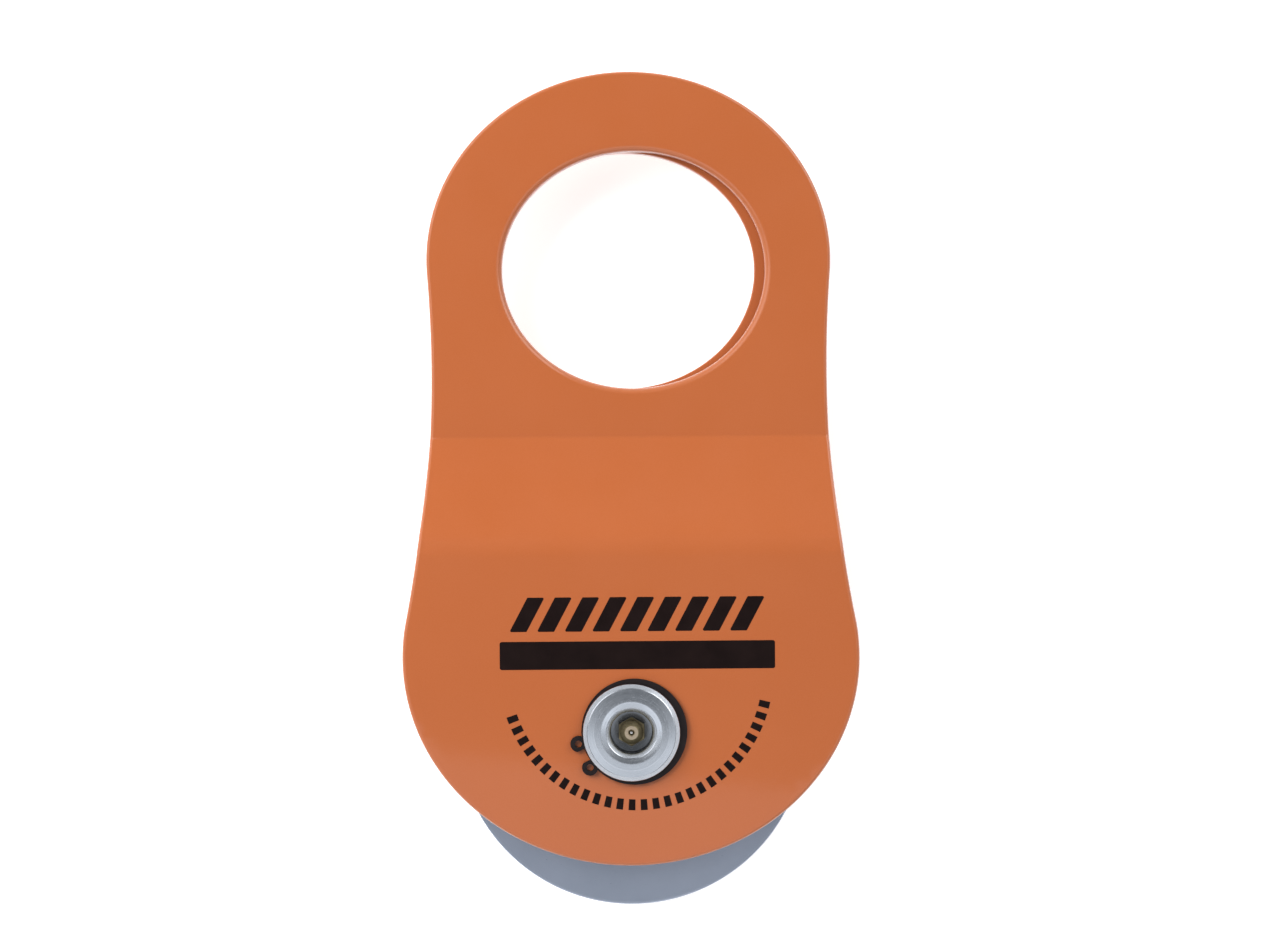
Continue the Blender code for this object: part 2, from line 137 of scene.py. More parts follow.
def spread(tree, value, low, high, start=0.3, end=0.7):
    """A value between start and end, spread over low to high."""
    return node(
        tree,
        "ShaderNodeMapRange",
        {"Value": value, "From Min": start, "From Max": end, "To Min": low, "To Max": high},
    ).outputs["Result"]


def mixed(tree, factor, first, second):
    made = node(tree, "ShaderNodeMix", {"Factor": factor}, data_type="RGBA")
    for socket, value in ((made.inputs[6], first), (made.inputs[7], second)):
        if isinstance(value, bpy.types.NodeSocket):
            tree.links.new(value, socket)
        else:
            socket.default_value = (*value, 1)
    return made.outputs[2]


def sums(tree, operation, first, second):
    made = node(tree, "ShaderNodeMath", operation=operation)
    for socket, value in zip(made.inputs, (first, second)):
        if isinstance(value, bpy.types.NodeSocket):
            tree.links.new(value, socket)
        else:
            socket.default_value = value
    return made.outputs[0]


def bumped(tree, height, distance, normal=None, strength=1.0):
    inputs = {"Height": height, "Distance": distance, "Strength": strength}
    if normal:
        inputs["Normal"] = normal
    return node(tree, "ShaderNodeBump", inputs).outputs["Normal"]


def edge_of(tree):
    """1 on an edge's rounding and 0 on the faces, stored in the mesh."""
    return node(tree, "ShaderNodeAttribute", attribute_name="edge").outputs["Fac"]


def turned_place(tree):
    """(distance from the pin's axis, height) in metres, for marks left by turning."""
    at = node(tree, "ShaderNodeSeparateXYZ", {"Vector": place(tree)})
    x, y, z = at.outputs
    flat = sums(tree, "ADD", sums(tree, "MULTIPLY", x, x), sums(tree, "MULTIPLY", y, y))
    away = sums(tree, "SQRT", flat, 0.0)
    return node(tree, "ShaderNodeCombineXYZ", {"X": away, "Y": z}).outputs["Vector"]


def powder_coat():
    """Orange powder coat: orange peel, a trace of cloudiness, thinner film along the edges with a painted
    highlight on them, and painted shade in the hole walls.
    """
    made, tree, shader = finish_of(
        "orange_powder_coat",
        Specular_IOR_Level=0.3,
        Coat_Weight=0.9,
        Coat_Roughness=0.05,
        Coat_IOR=1.5,
    )
    at = place(tree)
    cloud = spread(tree, noise(tree, at, 14, 3), 0, 1)
    speck = spread(tree, noise(tree, at, 2600, 1), 0, 1, 0.35, 0.65)
    base = mixed(tree, cloud, PAINT_LOW, PAINT_HIGH)
    base = mixed(tree, sums(tree, "MULTIPLY", speck, 0.10), base, PAINT_SPECK)
    edge = edge_of(tree)
    # Lighter along the edge roundings: thinner film, and a painted highlight.
    base = mixed(tree, sums(tree, "MULTIPLY", edge, 0.30), base, PAINT_EDGE)
    # Painted shade in the hole walls: darker there, and darkest low down in the rear plate.
    bore = node(tree, "ShaderNodeAttribute", attribute_name="bore").outputs["Fac"]
    height = node(tree, "ShaderNodeSeparateXYZ", {"Vector": at}).outputs["Z"]
    bore_shade = mixed(tree, spread(tree, height, 0, 1, 0.019, 0.027), SHADED_BORE_DEEP, SHADED_BORE)
    base = mixed(tree, sums(tree, "MULTIPLY", bore, 0.85), base, bore_shade)
    rough = spread(tree, noise(tree, at, 70, 3), 0.30, 0.40)
    rough = sums(tree, "ADD", rough, sums(tree, "MULTIPLY", edge, 0.06))
    peel = noise(tree, at, 620, 2, 0.45)
    grain = noise(tree, at, 3800, 1)
    normal = bumped(tree, peel, 0.014 * MM)
    normal = bumped(tree, grain, 0.0016 * MM, normal)
    tree.links.new(base, shader.inputs["Base Color"])
    tree.links.new(rough, shader.inputs["Roughness"])
    tree.links.new(normal, shader.inputs["Normal"])
    # The film is rougher where it has drawn thinner over an edge.
    thin_film = sums(tree, "MULTIPLY", noise(tree, at, 4500, 1), edge)
    over = bumped(tree, thin_film, 0.02 * MM)
    tree.links.new(bumped(tree, peel, 0.0022 * MM, over), shader.inputs["Coat Normal"])
    return made


def plated(name, low, high, rough, metallic, marks, patch=60):
    """Plated steel or bronze with turning marks round the pin's axis and a patchy bloom."""
    made, tree, shader = finish_of(name, Metallic=metallic, Specular_IOR_Level=0.5)
    at = place(tree)
    round_marks = noise(tree, turned_place(tree), 2300, 3, 0.6, "2D")
    bloom = spread(tree, noise(tree, at, patch, 4, 0.6), 0, 1)
    edge = edge_of(tree)
    base = mixed(tree, bloom, low, high)
    # Painted highlight: lighter along the edge roundings.
    base = mixed(tree, sums(tree, "MULTIPLY", edge, 0.25), base, [min(1, c * 1.35) for c in high])
    # Painted shade: much darker at the bottom of a deep recess.
    deep = node(tree, "ShaderNodeAttribute", attribute_name="deep").outputs["Fac"]
    base = mixed(tree, sums(tree, "MULTIPLY", deep, 0.75), base, [c * 0.28 for c in low])
    stain = spread(tree, noise(tree, at, 900, 2), rough - 0.02, rough + 0.02)
    score = spread(tree, round_marks, -0.04, 0.04)
    tree.links.new(base, shader.inputs["Base Color"])
    tree.links.new(sums(tree, "ADD", stain, score), shader.inputs["Roughness"])
    normal = bumped(tree, round_marks, marks)
    normal = bumped(tree, noise(tree, at, 5200, 1), 0.0009 * MM, normal)
    tree.links.new(normal, shader.inputs["Normal"])
    return made


def blackened():
    """Blackened spring steel, oiled, with a painted highlight in brown along its edge roundings."""
    made, tree, shader = finish_of(
        "blackened_spring_steel", Metallic=0.1, Specular_IOR_Level=0.25
    )
    at = place(tree)
    bloom = spread(tree, noise(tree, at, 240, 3), 0, 1)
    base = mixed(tree, bloom, (0.0070, 0.0045, 0.0050), (0.0130, 0.0085, 0.0090))
    # Painted highlight: the edge roundings are lighter and browner.
    base = mixed(tree, sums(tree, "MULTIPLY", edge_of(tree), 0.35), base, (0.045, 0.034, 0.032))
    tree.links.new(base, shader.inputs["Base Color"])
    rough = spread(tree, noise(tree, at, 700, 2), 0.30, 0.44)
    tree.links.new(rough, shader.inputs["Roughness"])
    normal = bumped(tree, noise(tree, at, 2100, 2), 0.004 * MM)
    tree.links.new(normal, shader.inputs["Normal"])
    return made


def brass_with_tip_highlight():
    """Dull yellow plating, the flat top of the tip painted pale as a highlight."""
    made, tree, shader = finish_of(
        "yellow_plated_nipple", Metallic=0.85, Specular_IOR_Level=0.5
    )
    at = place(tree)
    bloom = spread(tree, noise(tree, at, 420, 4, 0.6), 0, 1)
    base = mixed(tree, bloom, (0.185, 0.150, 0.082), (0.265, 0.220, 0.130))
    pale_tip = edge_of(tree)
    # Painted highlight: the top of the tip is pale.
    base = mixed(tree, pale_tip, base, (0.46, 0.38, 0.28))
    rough = spread(tree, noise(tree, at, 1400, 2), 0.26, 0.36)
    rough = sums(tree, "ADD", rough, sums(tree, "MULTIPLY", pale_tip, 0.16))
    tree.links.new(base, shader.inputs["Base Color"])
    tree.links.new(rough, shader.inputs["Roughness"])
    marks = noise(tree, turned_place(tree), 2300, 3, 0.6, "2D")
    normal = bumped(tree, noise(tree, at, 5200, 1), 0.0009 * MM, bumped(tree, marks, 0.004 * MM))
    tree.links.new(normal, shader.inputs["Normal"])
    return made


def wire():
    """Bright drawn wire."""
    made, tree, shader = finish_of("drawn_spring_wire", Metallic=1.0)
    at = place(tree)
    bloom = spread(tree, noise(tree, at, 900, 2), 0, 1)
    base = mixed(tree, bloom, (0.42, 0.43, 0.45), (0.56, 0.56, 0.57))
    tree.links.new(base, shader.inputs["Base Color"])
    rough = spread(tree, noise(tree, at, 4000, 2), 0.22, 0.34)
    tree.links.new(rough, shader.inputs["Roughness"])
    tree.links.new(bumped(tree, noise(tree, at, 9000, 1), 0.001 * MM), shader.inputs["Normal"])
    return made


def ink():
    """Black screen print on the powder coat: nearly flat, with a fine mesh grain."""
    made, tree, shader = finish_of("black_print", Specular_IOR_Level=0.1)
    at = place(tree)
    bloom = spread(tree, noise(tree, at, 160, 3), 0, 1)
    base = mixed(tree, bloom, (0.0060, 0.0026, 0.0024), (0.0095, 0.0046, 0.0042))
    tree.links.new(base, shader.inputs["Base Color"])
    rough = spread(tree, noise(tree, at, 1500, 2), 0.30, 0.40)
    tree.links.new(rough, shader.inputs["Roughness"])
    normal = bumped(tree, noise(tree, at, 620, 2, 0.45), 0.012 * MM)
    normal = bumped(tree, noise(tree, at, 5200, 1), 0.002 * MM, normal)
    tree.links.new(normal, shader.inputs["Normal"])
    return made


# ---------------------------------------------------------------- shapes


def piece(name, made, body, replaced, material):
    """A bmesh in place in the frame, as a finished piece that rides on a body."""
    mesh = bpy.data.meshes.new(name)
    made.to_mesh(mesh)
    made.free()
    return dress(bpy.data.objects.new(name, mesh), body, replaced, material)


def dress(obj, body, replaced, material, sharp=50):
    if obj.name not in SCENE.collection.objects:
        SCENE.collection.objects.link(obj)
    mesh = obj.data
    mesh.materials.clear()
    mesh.materials.append(material)
    mesh.shade_smooth()
    mesh.set_sharp_from_angle(angle=math.radians(sharp))
    even = obj.modifiers.new("even shading", "WEIGHTED_NORMAL")
    even.keep_sharp = True
    even.weight = 60
    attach(obj, body)
    if replaced:
        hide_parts(replaced)
    return obj


def arc(x, z, radius, start, end, count):
    """count points on an arc, from one angle to the other in degrees."""
    step = math.radians(end - start) / (count - 1)
    first = math.radians(start)
    return [
        (x + radius * math.cos(first + step * i), z + radius * math.sin(first + step * i))
        for i in range(count)
    ]


def rounded(corners, closed=False, segments=4):
    """A profile from corners (r, z) or (r, z, rounding), with each rounding as an arc.

    Each point comes back as (r, z, edge), where edge is 1 on an arc."""
    made = []
    for i, corner in enumerate(corners):
        here = Vector(corner[:2])
        inner = closed or 0 < i < len(corners) - 1
        if len(corner) < 3 or not inner:
            made.append((here.x, here.y, 0.0))
            continue
        before = Vector(corners[i - 1][:2]) - here
        after = Vector(corners[(i + 1) % len(corners)][:2]) - here
        half = before.angle(after) / 2
        reach = min(corner[2] / math.tan(half), before.length * 0.48, after.length * 0.48)
        radius = reach * math.tan(half)
        centre = here + (before.normalized() + after.normalized()).normalized() * (
            radius / math.sin(half)
        )
        start = here + before.normalized() * reach - centre
        end = here + after.normalized() * reach - centre
        first = math.atan2(start.y, start.x)
        sweep = (math.atan2(end.y, end.x) - first + math.pi) % (2 * math.pi) - math.pi
        for k in range(segments + 1):
            angle = first + sweep * k / segments
            made.append(
                (
                    centre.x + radius * math.cos(angle),
                    centre.y + radius * math.sin(angle),
                    0.0 if k in (0, segments) else 1.0,
                )
            )
    return made


def lathe(profile, steps, closed=False, middle=0.0):
    """A bmesh turned about Z from points (r, z, edge). A point on the axis is one vertex."""
    made = bmesh.new()
    edge = made.verts.layers.float.new("edge")
    rings = []
    for point in profile:
        r, z = point[:2]
        ring = []
        for k in range(steps if r > 1e-7 else 1):
            angle = 2 * math.pi * k / steps
            vert = made.verts.new((r * math.cos(angle), r * math.sin(angle), z + middle))
            vert[edge] = point[2] if len(point) > 2 else 0.0
            ring.append(vert)
        rings.append(ring)
    pairs = list(zip(rings, rings[1:]))
    if closed:
        pairs.append((rings[-1], rings[0]))
    for a, b in pairs:
        for k in range(steps):
            j = (k + 1) % steps
            if len(a) == 1:
                made.faces.new((a[0], b[k], b[j]))
            elif len(b) == 1:
                made.faces.new((a[k], b[0], a[j]))
            else:
                made.faces.new((a[k], b[k], b[j], a[j]))
    bmesh.ops.recalc_face_normals(made, faces=made.faces)
    return made


def helper(name, made):
    """An object that only takes part in a Boolean. It is removed after it."""
    mesh = bpy.data.meshes.new(name)
    made.to_mesh(mesh)
    made.free()
    obj = bpy.data.objects.new(name, mesh)
    SCENE.collection.objects.link(obj)
    return obj


def rod(name, radius, low, high, sides, at=(0, 0), turn=None):
    made = bmesh.new()
    bmesh.ops.create_cone(
        made,
        cap_ends=True,
        segments=sides,
        radius1=radius,
        radius2=radius,
        depth=high - low,
        matrix=Matrix.Translation((at[0], at[1], (high + low) / 2)),
    )
    if turn:
        bmesh.ops.transform(made, matrix=turn, verts=made.verts)
    return helper(name, made)


def carve(obj, steps):
    """Applies Booleans, given as (operation, helper), and removes the helpers."""
    for operation, other in steps:
        modifier = obj.modifiers.new(other.name, "BOOLEAN")
        modifier.operation = operation
        modifier.object = other
        modifier.solver = "EXACT"
    apply(obj)
    for _, other in steps:
        bpy.data.objects.remove(other)


def apply(obj):
    bpy.context.view_layer.update()
    graph = bpy.context.evaluated_depsgraph_get()
    mesh = bpy.data.meshes.new_from_object(obj.evaluated_get(graph))
    obj.modifiers.clear()
    obj.data = mesh
    mesh.name = obj.name


def on_ellipse(centre_y, rx, ry, angle):
    point = Vector((rx * math.cos(angle), centre_y + ry * math.sin(angle)))
    normal = Vector((math.cos(angle) / rx, math.sin(angle) / ry)).normalized()
    return point, normal


def waist_touches():
    """The angles where the hollow side touches the two arcs, and its centre."""

    def apart(low, high):
        a, na = on_ellipse(BOTTOM_Y, BOTTOM_RX, BOTTOM_RY, low)
        b, nb = on_ellipse(EYE_Y, EYE_RX, EYE_RY, high)
        return (a + WAIST_R * na) - (b + WAIST_R * nb)

    low, high, small = 0.18, -0.05, 1e-6
    for _ in range(40):
        now = apart(low, high)
        by_low = (apart(low + small, high) - now) / small
        by_high = (apart(low, high + small) - now) / small
        area = by_low.x * by_high.y - by_low.y * by_high.x
        low -= (now.x * by_high.y - now.y * by_high.x) / area
        high -= (by_low.x * now.y - by_low.y * now.x) / area
    point, normal = on_ellipse(BOTTOM_Y, BOTTOM_RX, BOTTOM_RY, low)
    return low, high, point + WAIST_R * normal


RISE = FRONT_IN - MID - GAP / 2
SLOPE = math.atan(RISE / (BEND_HIGH_Y - BEND_LOW_Y))
LOW_START = BEND_LOW_Y - BEND_LOW_R * math.tan(SLOPE / 2)
HIGH_END = BEND_HIGH_Y + BEND_HIGH_R * math.tan(SLOPE / 2)


def joggle(y):
    """The height of the plate's middle above MID at y, and the tilt of the plate there."""
    flat_low = FRONT_IN - MID + PLATE_T / 2
    flat_high = flat_low - RISE
    low_end = LOW_START + BEND_LOW_R * math.sin(SLOPE)
    high_start = HIGH_END - BEND_HIGH_R * math.sin(SLOPE)
    if y <= LOW_START:
        return flat_low, 0
    if y < low_end:
        tilt = math.asin((y - LOW_START) / BEND_LOW_R)
        return flat_low - BEND_LOW_R * (1 - math.cos(tilt)), tilt
    if y <= high_start:
        return flat_low - math.tan(SLOPE) * (y - BEND_LOW_Y), SLOPE
    if y < HIGH_END:
        tilt = math.asin((HIGH_END - y) / BEND_HIGH_R)
        return flat_high + BEND_HIGH_R * (1 - math.cos(tilt)), tilt
    return flat_high, 0


def plate_rows():
    """The rows y of the plate's grid: close together in the bends, 4 mm apart elsewhere."""
    low = [LOW_START + BEND_LOW_R * math.sin(SLOPE * i / 12) for i in range(13)]
    high = [HIGH_END - BEND_HIGH_R * math.sin(SLOPE * i / 10) for i in range(10, -1, -1)]

    def between(start, end, step=4 * MM):
        count = max(1, round((end - start) / step))
        return [start + (end - start) * i / count for i in range(1, count)]

    lowest, highest = BOTTOM_Y - BOTTOM_RY, EYE_Y + EYE_RY
    return (
        between(lowest, low[0])
        + low
        + between(low[-1], high[0])
        + high
        + between(high[-1], highest)
    )


def plate_outline(rows):
    """The outline as (point, outward normal), anticlockwise from the bottom."""
    low, high, centre = waist_touches()
    right = []
    for i in range(72):
        angle = -math.pi / 2 + (low + math.pi / 2) * i / 71
        right.append(on_ellipse(BOTTOM_Y, BOTTOM_RX, BOTTOM_RY, angle))
    top = on_ellipse(EYE_Y, EYE_RX, EYE_RY, high)
    for y in rows:
        if right[71][0].y + 0.3 * MM < y < top[0].y - 0.3 * MM:
            away = math.sqrt(WAIST_R**2 - (y - centre.y) ** 2)
            point = Vector((centre.x - away, y))
            right.append((point, (centre - point).normalized()))
    for i in range(76):
        angle = high + (math.pi / 2 - high) * i / 75
        right.append(on_ellipse(EYE_Y, EYE_RX, EYE_RY, angle))
    left = [
        (Vector((-p.x, p.y)), Vector((-n.x, n.y))) for p, n in reversed(right[1:-1])
    ]
    return right + left


def inside(point, ring):
    """Whether a point is inside a closed run of points."""
    hit = False
    for a, b in zip(ring, ring[1:] + ring[:1]):
        if (a.y > point.y) != (b.y > point.y):
            if point.x < a.x + (point.y - a.y) * (b.x - a.x) / (b.y - a.y):
                hit = not hit
    return hit


def flat_face(rings, rows):
    """Triangles over the face between the outer ring and the holes, on a grid of rows."""
    points, edges = [], []
    for ring in rings:
        first = len(points)
        points += ring
        edges += [(first + i, first + (i + 1) % len(ring)) for i in range(len(ring))]
    borders = len(points)
    near = 1.6 * MM
    for y in rows:
        for k in range(-16, 17):
            at = Vector((k * 4 * MM, y))
            if not inside(at, rings[0]) or any(inside(at, hole) for hole in rings[1:]):
                continue
            if min((at - p).length_squared for p in points[:borders]) > near**2:
                points.append(at)
    verts, _, faces, origins, _, _ = delaunay_2d_cdt(points, edges, [], 0, 1e-8)
    if len(verts) != len(points):
        raise ValueError("the grid and its borders meet")
    kept = []
    for face in faces:
        centre = sum((verts[i] for i in face), Vector((0, 0))) / 3
        if inside(centre, rings[0]) and not any(inside(centre, h) for h in rings[1:]):
            kept.append([origins[i][0] for i in face])
    return points, kept


def plate_mesh(flip):
    """The pressed plate: rounded edges round the outline and the holes, and a grid between them."""
    rows = plate_rows()
    outline = plate_outline(rows)
    half = PLATE_T / 2
    made = bmesh.new()
    made.verts.layers.float.new("edge")
    made.verts.layers.float.new("bore")
    edge = made.verts.layers.float["edge"]
    bore = made.verts.layers.float["bore"]

    def vert(x, y, z, value, inner=0.0):
        middle, tilt = joggle(y)
        new = made.verts.new(
            (x, y + z * math.sin(tilt), middle + z * math.cos(tilt))
        )
        new[edge] = value
        new[bore] = inner
        return new

    def section(lip, top_first):
        """(inset, height, edge) down an edge with a rounding of lip at the top and another at the bottom."""
        top, bottom = lip if top_first else lip[::-1]
        steps = 6
        made_section = []
        for k in range(steps + 1):
            a = math.radians(90 * k / steps)
            made_section.append(
                (top * (1 - math.sin(a)), half - top * (1 - math.cos(a)), min(1.0, k / 2))
            )
        for k in range(steps + 1):
            a = math.radians(90 * k / steps)
            made_section.append(
                (
                    bottom * (1 - math.cos(a)),
                    -half + bottom * (1 - math.sin(a)),
                    min(1.0, (steps - k) / 2),
                )
            )
        return made_section

    def wall(run_of, hole=True):
        """Quads between the rings of one edge. Gives the ring on each face of the plate.

        The straight part of a hole's wall, between its two roundings, is marked as bore, where the coat gets
        painted shade."""
        rings = []
        straight = (len(run_of[0]) // 2 - 1, len(run_of[0]) // 2)
        for k, (inset, height, value) in enumerate(run_of[0]):
            inner = 1.0 if hole and k in straight else 0.0
            rings.append(
                [vert(*run_of[1](inset, i), height, value, inner) for i in range(run_of[2])]
            )
        for a, b in zip(rings, rings[1:]):
            for i in range(len(a)):
                j = (i + 1) % len(a)
                made.faces.new((a[i], b[i], b[j], a[j]))
        return rings[0], rings[-1]

    def outer(inset, i):
        point, normal = outline[i]
        at = point - normal * inset
        return at.x, at.y

    hole_count, pin_count = 176, 96
    stretch = HOLE_RX / HOLE_RY

    def eye(inset, i):
        angle = 2 * math.pi * i / hole_count
        r = HOLE_RY + inset
        return HOLE_X + r * stretch * math.cos(angle), HOLE_Y + r * math.sin(angle)

    def pin_hole(inset, i):
        angle = 2 * math.pi * i / pin_count
        r = PIN_R + GAP + inset
        return r * math.cos(angle), r * math.sin(angle)

    borders = [
        wall((section((PLATE_EDGE, PLATE_EDGE), True), outer, len(outline)), hole=False),
        wall((section((HOLE_LIP, HOLE_BREAK), True), eye, hole_count)),
        wall((section((0.25 * MM, 0.25 * MM), True), pin_hole, pin_count)),
    ]
    insets = [(PLATE_EDGE, PLATE_EDGE), (HOLE_LIP, HOLE_BREAK), (0.25 * MM, 0.25 * MM)]
    for side, height in ((0, half), (1, -half)):
        rings = [
            [Vector(place_of(insets[k][side], i)) for i in range(count)]
            for k, (place_of, count) in enumerate(
                ((outer, len(outline)), (eye, hole_count), (pin_hole, pin_count))
            )
        ]
        points, faces = flat_face(rings, rows)
        verts = [v for border in borders for v in border[side]]
        verts += [vert(p.x, p.y, height, 0.0) for p in points[len(verts) :]]
        for face in faces:
            made.faces.new([verts[i] for i in face])
    turn = Matrix.Translation((0, 0, MID))
    if flip:
        turn = turn @ Matrix.Rotation(math.pi, 4, "Y")
    bmesh.ops.transform(made, matrix=turn, verts=made.verts)
    bmesh.ops.recalc_face_normals(made, faces=made.faces)
    return made


def sheave_profile():
    """The sheave's section, from the top of the rim down its rope groove and back up its bore."""
    half = SHEAVE_W / 2
    land = 0.8 * MM
    centre = ROPE_ROOT_R + ROPE_R
    touch_r = centre - ROPE_R * math.sin(ROPE_FLANK)
    touch_z = ROPE_R * math.cos(ROPE_FLANK)
    lip_z = touch_z + (SHEAVE_R - touch_r) * math.tan(ROPE_FLANK)
    degrees = math.degrees(ROPE_FLANK)
    outer = [(*p, 1.0) for p in arc(SHEAVE_R - land, half - land, land, 90, 0, 7)]
    outer[0] = (*outer[0][:2], 0.0)
    lip = arc(SHEAVE_R - land, lip_z + land, land, 0, -90 + degrees, 7)
    # The lip's rounding meets the flank of the groove.
    outer += [(r, z, 1.0) for r, z in lip]
    groove = [(*p, 0.0) for p in arc(centre, 0, ROPE_R, 90 + degrees, 270 - degrees, 33)]
    upper = outer + groove[:17]
    lower = [(r, -z, e) for r, z, e in reversed(upper[:-1])]
    bore = PIN_R + 2 * GAP + BUSH_WALL
    side = [
        (WEB_OUT_R, half, 0.5 * MM),
        (WEB_OUT_R - WEB_DEPTH, half - WEB_DEPTH, 0.8 * MM),
        (WEB_IN_R + WEB_DEPTH, half - WEB_DEPTH, 0.8 * MM),
        (WEB_IN_R, half, 0.5 * MM),
        (bore + 0.5 * MM, half, 0.1 * MM),
        (bore, half - 0.5 * MM, 0.1 * MM),
    ]
    inner = rounded([(SHEAVE_R - land, half), *side, (bore, 0)], segments=5)[1:-1]
    return upper + lower + [(r, -z, e) for r, z, e in inner] + list(reversed(inner))


def pin_profile():
    floor = PIN_TOP - RECESS_DEPTH
    groove_low, groove_high = RING_LOW - GAP, RING_HIGH + GAP
    neck = PIN_R - GROOVE_DEPTH
    return rounded(
        [
            (0, MID - 3.0 * MM),
            (DRILL_R, MID - 2.2 * MM),
            (DRILL_R, floor - TAP_DEPTH),
            (TAP_R, floor - TAP_DEPTH + TAP_R - DRILL_R),
            (TAP_R, floor - 0.4 * MM),
            (TAP_R + 0.4 * MM, floor),
            (RECESS_R, floor, 0.15 * MM),
            (RECESS_R, PIN_TOP - COUNTERSINK, 0.3 * MM),
            (DISH_R, PIN_TOP - DISH_DEPTH, 0.5 * MM),
            (RECESS_LIP_R, PIN_TOP, 2.0 * MM),
            (RECESS_LIP_R + 1.9 * MM, PIN_TOP - 0.4 * PIN_CROWN, 9.0 * MM),
            (PIN_R - PIN_CHAMFER, PIN_TOP - PIN_CROWN, 0.6 * MM),
            (PIN_R, PIN_TOP - PIN_CROWN - 0.85 * PIN_CHAMFER, 0.4 * MM),
            (PIN_R, groove_high, 0.12 * MM),
            (neck, groove_high, 0.1 * MM),
            (neck, groove_low, 0.1 * MM),
            (PIN_R, groove_low, 0.12 * MM),
            (PIN_R, HEAD_T, 0.35 * MM),
            (HEAD_R - 0.8 * MM, HEAD_T, 0.25 * MM),
            (HEAD_R, HEAD_T - 0.8 * MM, 0.3 * MM),
            (HEAD_R, 0.8 * MM, 0.3 * MM),
            (HEAD_R - 0.8 * MM, 0, 0.3 * MM),
            (0, 0),
        ],
        segments=4,
    )


def make_pin(material):
    pin = helper("axle_pin_turned", lathe(pin_profile(), 144))
    crosswise = Matrix.Translation((0, 0, MID)) @ Matrix.Rotation(math.pi / 2, 4, "Y")
    drill = rod("cross_drill", 1.5 * MM, 0, PIN_R + MM, 32, turn=crosswise)
    carve(pin, [("DIFFERENCE", drill)])
    floor = PIN_TOP - RECESS_DEPTH
    # The bottom of the recess is marked deep, for painted shade.
    pin.data.attributes.new("deep", "FLOAT", "POINT")
    deep = [
        1.0 if v.co.xy.length < RECESS_R + 0.01 * MM and v.co.z < floor + 4.0 * MM else 0.0
        for v in pin.data.vertices
    ]
    pin.data.attributes["deep"].data.foreach_set("value", deep)
    return dress(pin, "rear_plate_and_pin", "axle_pin", material)


def direction(angle, length):
    return (length * math.cos(angle), length * math.sin(angle))


def make_ring(material):
    """The eccentric ring with its two lugs, plier holes and gap, and its stamped edges softened."""
    low, high = RING_LOW, RING_HIGH
    thick = direction(RING_THICK, RING_OFFSET)
    ring = rod("retaining_ring_stamped", RING_R, low, high, 160, at=thick)
    steps, lugs = [], []
    for i, angle in enumerate((RING_OPEN - LUG_SPREAD, RING_OPEN + LUG_SPREAD)):
        at = direction(angle, LUG_AT)
        steps.append(("UNION", rod(f"lug_{i}", LUG_R, low, high, 40, at=at)))
        lugs.append(at)
    bore = PIN_R - GROOVE_DEPTH + GAP
    steps.append(("DIFFERENCE", rod("ring_bore", bore, low - MM, high + MM, 160)))
    for i, at in enumerate(lugs):
        hole = rod(f"plier_hole_{i}", LUG_HOLE_R, low - MM, high + MM, 32, at=at)
        steps.append(("DIFFERENCE", hole))
    made = bmesh.new()
    bmesh.ops.create_cube(made, size=1)
    bmesh.ops.scale(made, vec=(14 * MM, RING_GAP, 4 * MM), verts=made.verts)
    bmesh.ops.translate(made, vec=(15 * MM, 0, (low + high) / 2), verts=made.verts)
    turn = Matrix.Rotation(RING_OPEN, 4, "Z")
    bmesh.ops.transform(made, matrix=turn, verts=made.verts)
    steps.append(("DIFFERENCE", helper("ring_gap", made)))
    carve(ring, steps)
    soften(ring, 0.14 * MM, 55)
    return dress(ring, "rear_plate_and_pin", "retaining_ring", material)


def soften(obj, width, angle, segments=3):
    """Rounds the edges sharper than an angle, and marks the rounding in the edge attribute."""
    bevel = obj.modifiers.new("soft edges", "BEVEL")
    bevel.width = width
    bevel.segments = segments
    bevel.limit_method = "ANGLE"
    bevel.angle_limit = math.radians(angle)
    bevel.harden_normals = False
    before = {(round(v.co.x, 7), round(v.co.y, 7)) for v in obj.data.vertices}
    low = min(v.co.z for v in obj.data.vertices)
    high = max(v.co.z for v in obj.data.vertices)
    apply(obj)
    if "edge" not in obj.data.attributes:
        obj.data.attributes.new("edge", "FLOAT", "POINT")
    values = [
        1.0 if low + 1e-6 < v.co.z < high - 1e-6 and before else 0.0
        for v in obj.data.vertices
    ]
    obj.data.attributes["edge"].data.foreach_set("value", values)


def nipple_levels():
    base = PIN_TOP - RECESS_DEPTH + GAP
    tip = PIN_TOP - 0.9 * MM
    seat = tip - 0.6 * MM
    opening = 0.65 * MM
    ball = seat - math.sqrt((BALL_R + GAP) ** 2 - opening**2)
    ledge = base - 1.4 * MM
    return base, base + HEX_H, tip, seat, opening, ball, ledge


def threaded(radius, core, low, high, pitch, steps=48):
    """A closed screw from low to high whose thread runs out at both ends."""
    made = bmesh.new()
    per_pitch = 8
    rows = int(round((high - low) / pitch * per_pitch))
    rings = []
    for row in range(rows + 1):
        z = low + (high - low) * row / rows
        out = min(1.0, (z - low) / (0.7 * pitch), (high - z) / (0.7 * pitch))
        ring = []
        for k in range(steps):
            angle = 2 * math.pi * k / steps
            phase = ((z - low) / pitch - k / steps) % 1.0
            crest = min(1.0, max(0.0, 1.35 - 3.1 * abs(phase - 0.5) / 0.75))
            r = core + (radius - core) * crest * max(0.0, out)
            ring.append(made.verts.new((r * math.cos(angle), r * math.sin(angle), z)))
        rings.append(ring)
    for a, b in zip(rings, rings[1:]):
        for k in range(steps):
            j = (k + 1) % steps
            made.faces.new((a[k], a[j], b[j], b[k]))
    made.faces.new(list(reversed(rings[0])))
    made.faces.new(rings[-1])
    bmesh.ops.recalc_face_normals(made, faces=made.faces)
    return made


